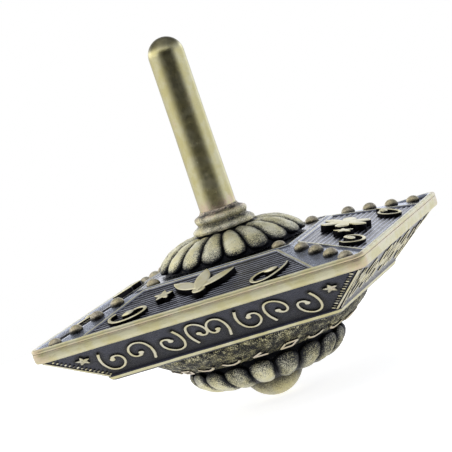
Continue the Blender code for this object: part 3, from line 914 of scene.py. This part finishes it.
# One scroll's path, from its round head, and where each stands on a side: u, how far down from the
# rim, and its flips. The studs and stars stand beside them.
SCROLL = [
    (0.0, 0.0), (0.3, 0.62), (0.95, 0.72), (1.42, 0.1), (1.42, -1.1), (0.85, -2.2), (-0.15, -2.75),
    (-1.15, -2.3), (-1.65, -0.9), (-1.6, 0.8), (-1.15, 2.35),
]
SCROLLS = (
    (-14.9, 4.15, 1, 1), (-10.65, 4.45, -1, -1), (-5.9, 3.9, -1, 1), (-1.7, 4.05, 0.86, -1),
    (1.05, 4.3, -0.86, -1), (5.9, 3.7, 1, 1), (10.1, 4.15, 1, -1), (14.35, 4.45, -1, 1),
)
TRAY_STARS = ((-18.6, TRAY_LENGTH - 2.4), (18.5, TRAY_LENGTH - 2.6))


def scroll_paths():
    return [
        curve_through(np.array(SCROLL) * [flip_u, flip_v] + [u, TRAY_LENGTH - down], 64)
        for u, down, flip_u, flip_v in SCROLLS
    ]


def tray_wear(points, wear):
    """Blackens the tray's sides round the scrolls and stars, and makes them darker towards the foot."""
    x, y, z = points[..., 0], points[..., 1], points[..., 2]
    along = np.where(np.abs(y) > np.abs(x), -np.sign(y) * x, np.sign(x) * y)
    up = (z - TRAY_FOOT_Z) / (TRAY_TOP_Z - TRAY_FOOT_Z) * TRAY_LENGTH
    figures = np.vstack([*scroll_paths(), *[star(middle, 1.0, 0.5) for middle in TRAY_STARS]])
    side = (z > TRAY_FOOT_Z + 0.4) & (z < TRAY_TOP_Z - 0.05) & (np.maximum(np.abs(x), np.abs(y)) > 17)
    far = smooth(0.2, 1.1, distance(np.stack([along, up], -1), figures))
    return np.where(side, wear * (0.1 + 0.9 * far) * (0.2 + 0.95 * up / TRAY_LENGTH), wear)


def make_tray_relief(side, looks):
    """Eight scrolls and two stars along one side of the tray, and the studs up its two ends."""
    build = Build()
    place = on_tray(side)
    head = TRAY_LENGTH
    for path in scroll_paths():
        share = np.linspace(0, 1, len(path))
        width = 0.19 + 0.13 * (1 - smooth(0.0, 0.12, share)) + 0.03 * smooth(0.6, 0.9, share)
        add_stroke(build, place, path, width, 0.16, round_edge=0.10)
        add_plateau(build, place, disc(path[0], 0.42), 0.20, edge=0.14, dome=0.04)
    for middle in TRAY_STARS:
        add_plateau(build, place, star(middle, 1.15, 0.55), 0.18, edge=0.12, dome=0.04, rubbed_to=0.62)
    for end in (-1, 1):
        for k in range(STUDS):
            share = (k + 0.5) / STUDS
            v = 0.7 + (head - 1.1) * share
            half = TRAY_FOOT_HALF + (TRAY_TOP_HALF - TRAY_FOOT_HALF) * v / head
            lean = end * (TRAY_TOP_HALF - TRAY_FOOT_HALF) / head
            centre = np.array([end * (half - 1.15), v])
            run = np.array([lean, 1.0]) / math.hypot(lean, 1.0)
            cross = np.array([run[1], -run[0]])
            turn = np.radians(np.arange(16) * 22.5)
            wide = 0.30 + 0.05 * math.sin(k * 2.7 + end)
            outline = centre + np.outer(np.cos(turn) * wide, cross) + np.outer(np.sin(turn) * 0.17, run)
            add_plateau(build, place, outline, 0.13, edge=0.08, dome=0.03, rubbed_to=0.62 + 0.2 * math.sin(k * 4.1))
        foot = np.array([end * (TRAY_FOOT_HALF - 0.1), 0.45])
        top = np.array([end * (TRAY_TOP_HALF - 0.35), head - 0.3])
        line = np.linspace(foot, top, 40)
        add_stroke(build, place, line, 0.16, 0.12, round_edge=0.1)
    build.piece(f"tray_relief_{side}", looks["relief"], "antiqued_brass", sharp=50)


def make_boss(looks):
    """The grainy shallow dome under the tray."""
    build = Build()
    outline = curve_through(
        [(12.3, 7.55), (12.75, 7.75), (14.2, 8.6), (15.7, 9.6), (16.45, 10.35), (16.5, 10.78)], 44
    )
    under, over = [(1.6, 7.5), (8.0, 7.5), (11.0, 7.5)], [(12.0, 10.8), (4.0, 10.8), (4.0, 8.2), (1.6, 8.2)]
    profile = np.vstack([under, outline, over])
    points = turned_points(profile, 300)
    lump = noise(points, 0.5, 11) * 0.07 + noise(points, 0.28, 12) * 0.04
    points[3:-4, :, 2] -= lump[3:-4]
    wear = 0.42 + 0.25 * noise(points, 0.45, 11)
    wear[:3] = 0.1
    wear[-4:] = 0.0
    build.grid(points, wear.reshape(-1), close=True)
    build.piece("boss_dome", looks["boss"], "grained_brass", "base_plate", sharp=70)


def make_boss_relief(looks):
    """A border of lozenges, scallops and chevrons in thin raised line round the lower edge of the boss."""
    build = Build()
    low, high = np.array([12.6, 7.62]), np.array([15.7, 9.55])
    run = (high - low) / np.linalg.norm(high - low)
    out = np.array([run[1], -run[0]])

    def place(u, v, height):
        u, v, height = np.broadcast_arrays(u, v, height)
        r = low[0] + run[0] * v + out[0] * height
        z = low[1] + run[1] * v + out[1] * height
        turn = np.asarray(u) / BORDER_RADIUS
        return np.stack([r * np.cos(turn), r * np.sin(turn), z], -1)

    lozenge = [(-1.2, 0.5), (0.6, 0.4), (1.3, 1.6), (-0.5, 1.7), (-1.2, 0.5)]
    scallop = [(-1.4, 1.4), (-0.9, 0.7), (0.0, 0.4), (0.9, 0.7), (1.4, 1.4)]
    chevron = [(1.1, 0.6), (-1.0, 0.8), (0.3, 1.7)]
    for k in range(BORDER_FIGURES):
        centre = 2 * math.pi * BORDER_RADIUS * k / BORDER_FIGURES + 3.2
        corners = (lozenge, scallop, scallop, chevron)[k % 4]
        for first, last in zip(corners, corners[1:]):
            line = np.linspace(first, last, 8) + [centre, 0]
            add_stroke(build, place, line, 0.23, 0.24, round_edge=0.10)
    build.piece("boss_relief", looks["relief"], "grained_brass", sharp=50, copper=lambda p: 0.3)


def dress_inner_pieces(looks):
    """The pieces inside keep their CAD shapes and get a finish."""
    for node, look in (("spacer_sleeve", "satin"), ("clamp_washer", "steel"), ("clamp_nut", "steel")):
        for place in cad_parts[node].material_slots:
            place.material = looks[look]


# The studio.


def make_world():
    """A white light tent, seen only in reflections. It has a soft dark opening in front, a bright low band
    and a dim high band behind, and cooler light on the right. The camera sees plain white."""
    world = bpy.data.worlds.new("light_tent")
    world.use_nodes = True
    bpy.context.scene.world = world
    tree = world.node_tree
    tree.nodes.clear()

    def math_node(operation, *values):
        made = tree.nodes.new("ShaderNodeMath")
        made.operation = operation
        for socket, value in zip(made.inputs, values):
            if isinstance(value, (int, float)):
                socket.default_value = value
            else:
                tree.links.new(value, socket)
        return made.outputs[0]

    def ranged(value, low, high, to_low=0.0, to_high=1.0):
        made = tree.nodes.new("ShaderNodeMapRange")
        made.interpolation_type = "SMOOTHSTEP"
        for key, number in zip(("From Min", "From Max", "To Min", "To Max"), (low, high, to_low, to_high)):
            made.inputs[key].default_value = number
        tree.links.new(value, made.inputs["Value"])
        return made.outputs["Result"]

    def band(value, start, full, fade, end):
        return math_node("MULTIPLY", ranged(value, start, full), ranged(value, fade, end, 1.0, 0.0))

    def but_not(mask):
        return math_node("SUBTRACT", 1.0, mask)

    coords = tree.nodes.new("ShaderNodeTexCoord")
    parts = tree.nodes.new("ShaderNodeSeparateXYZ")
    tree.links.new(coords.outputs["Generated"], parts.inputs[0])
    x, y, z = parts.outputs
    azimuth = math.radians(OPENING_AZIMUTH)
    level = math_node("SQRT", math_node("MAXIMUM", math_node("SUBTRACT", 1.0, math_node("MULTIPLY", z, z)), 0.0001))

    def level_share(x_share, y_share):
        along = math_node("ADD", math_node("MULTIPLY", x, x_share), math_node("MULTIPLY", y, y_share))
        return math_node("DIVIDE", along, level)

    facing = level_share(math.sin(azimuth), -math.cos(azimuth))
    rightward = level_share(math.cos(azimuth), math.sin(azimuth))

    def dimmed(bright, amount, *masks):
        """Less light by the given share where every mask is 1. A negative amount adds light."""
        for mask in masks:
            amount = math_node("MULTIPLY", amount, mask)
        return math_node("MULTIPLY", bright, but_not(amount))

    on_right = math_node("GREATER_THAN", rightward, 0.0)
    opening = math_node(
        "ADD",
        math_node("MULTIPLY", ranged(facing, -0.09, 0.97), but_not(on_right)),
        math_node("MULTIPLY", ranged(facing, 0.42, 0.985), on_right),
    )
    behind = ranged(facing, -0.65, -0.3, 1.0, 0.0)
    bright = dimmed(1.0, OPENING_DIM, opening, ranged(z, 0.80, 0.45), ranged(z, -0.5, -0.2))
    bright = dimmed(bright, UPPER_RIGHT_DIM, ranged(rightward, 0.3, 0.65), ranged(z, 0.15, 0.45))
    bright = dimmed(bright, LOW_BAND_DIM, behind, band(z, 0.02, 0.14, 0.34, 0.46))
    bright = dimmed(bright, HIGH_BAND_DIM, behind, band(z, 0.42, 0.54, 0.66, 0.80))
    bright = dimmed(bright, REAR_RIGHT_DIM, behind, ranged(rightward, 0.45, 0.65), ranged(z, 0.14, 0.02))

    for_camera = tree.nodes.new("ShaderNodeLightPath").outputs["Is Camera Ray"]
    tone = tree.nodes.new("ShaderNodeMix")
    tone.data_type = "RGBA"
    tone.inputs[6].default_value, tone.inputs[7].default_value = (1.0, 1.0, 1.0, 1.0), (*COOL_WHITE, 1.0)
    cool = math_node("MULTIPLY", ranged(rightward, -0.2, 0.7, 0.08, 0.9), but_not(for_camera))
    tree.links.new(cool, tone.inputs[0])
    background = tree.nodes.new("ShaderNodeBackground")
    tree.links.new(tone.outputs[2], background.inputs["Color"])
    tree.links.new(math_node("MAXIMUM", bright, for_camera), background.inputs["Strength"])
    output = tree.nodes.new("ShaderNodeOutputWorld")
    tree.links.new(background.outputs[0], output.inputs["Surface"])


def make_studio():
    """The tent, a pale floor disc and one weak soft light."""
    make_world()
    material, shader = speckled("pale_floor", 6.0, (0.49, 0.49, 0.49), (0.51, 0.51, 0.51), 0.9)
    shader.inputs["Emission Color"].default_value = (1, 1, 1, 1)
    shader.inputs["Emission Strength"].default_value = 0.82
    rim = np.radians(np.arange(0, 360, 3.75))
    mesh = bpy.data.meshes.new("studio_floor")
    round_edge = np.stack([np.cos(rim), np.sin(rim), 0 * rim], 1) * FLOOR_RADIUS * MM
    mesh.from_pydata(round_edge.tolist(), [], [tuple(range(len(rim)))])
    mesh.materials.append(material)
    floor = bpy.data.objects.new("studio_floor", mesh)
    bpy.context.scene.collection.objects.link(floor)
    data = bpy.data.lights.new("key_light", "AREA")
    data.size = KEY_SIZE * MM
    data.energy = KEY_WATTS
    light = bpy.data.objects.new("key_light", data)
    place = Vector(KEY_PLACE)
    light.location = place * MM
    light.rotation_mode = "QUATERNION"
    light.rotation_quaternion = (Vector((0, 0, 20)) - place).to_track_quat("-Z", "Y")
    bpy.context.scene.collection.objects.link(light)
    bpy.context.scene.view_settings.view_transform = "Standard"


def make_camera():
    data = bpy.data.cameras.new("camera")
    data.lens, data.sensor_width = VIEW_LENS, 36.0
    data.clip_start, data.clip_end = 0.02, 20.0
    camera = bpy.data.objects.new("camera", data)
    azimuth, elevation = math.radians(VIEW_AZIMUTH), math.radians(VIEW_ELEVATION)
    back = Vector(
        (math.sin(azimuth) * math.cos(elevation), -math.cos(azimuth) * math.cos(elevation), math.sin(elevation))
    )
    camera.location = (Vector(VIEW_TARGET) + back * VIEW_DISTANCE) * MM
    camera.rotation_mode = "QUATERNION"
    level = (-back).to_track_quat("-Z", "Y")
    camera.rotation_quaternion = level @ Quaternion((0, 0, 1), math.radians(VIEW_ROLL))
    bpy.context.scene.collection.objects.link(camera)
    bpy.context.scene.camera = camera


def main():
    make_camera()
    looks = make_materials()
    make_stem(looks)
    make_collar(looks)
    make_cap(looks)
    make_roof(looks)
    make_beads(looks)
    make_tray(looks)
    for side in SIDES:
        make_panel(side, looks)
        make_mark(side, looks)
        make_roof_relief(side, looks)
        make_tray_relief(side, looks)
    make_boss(looks)
    make_boss_relief(looks)
    make_foot(looks)
    make_ball(looks)
    dress_inner_pieces(looks)
    make_studio()


main()
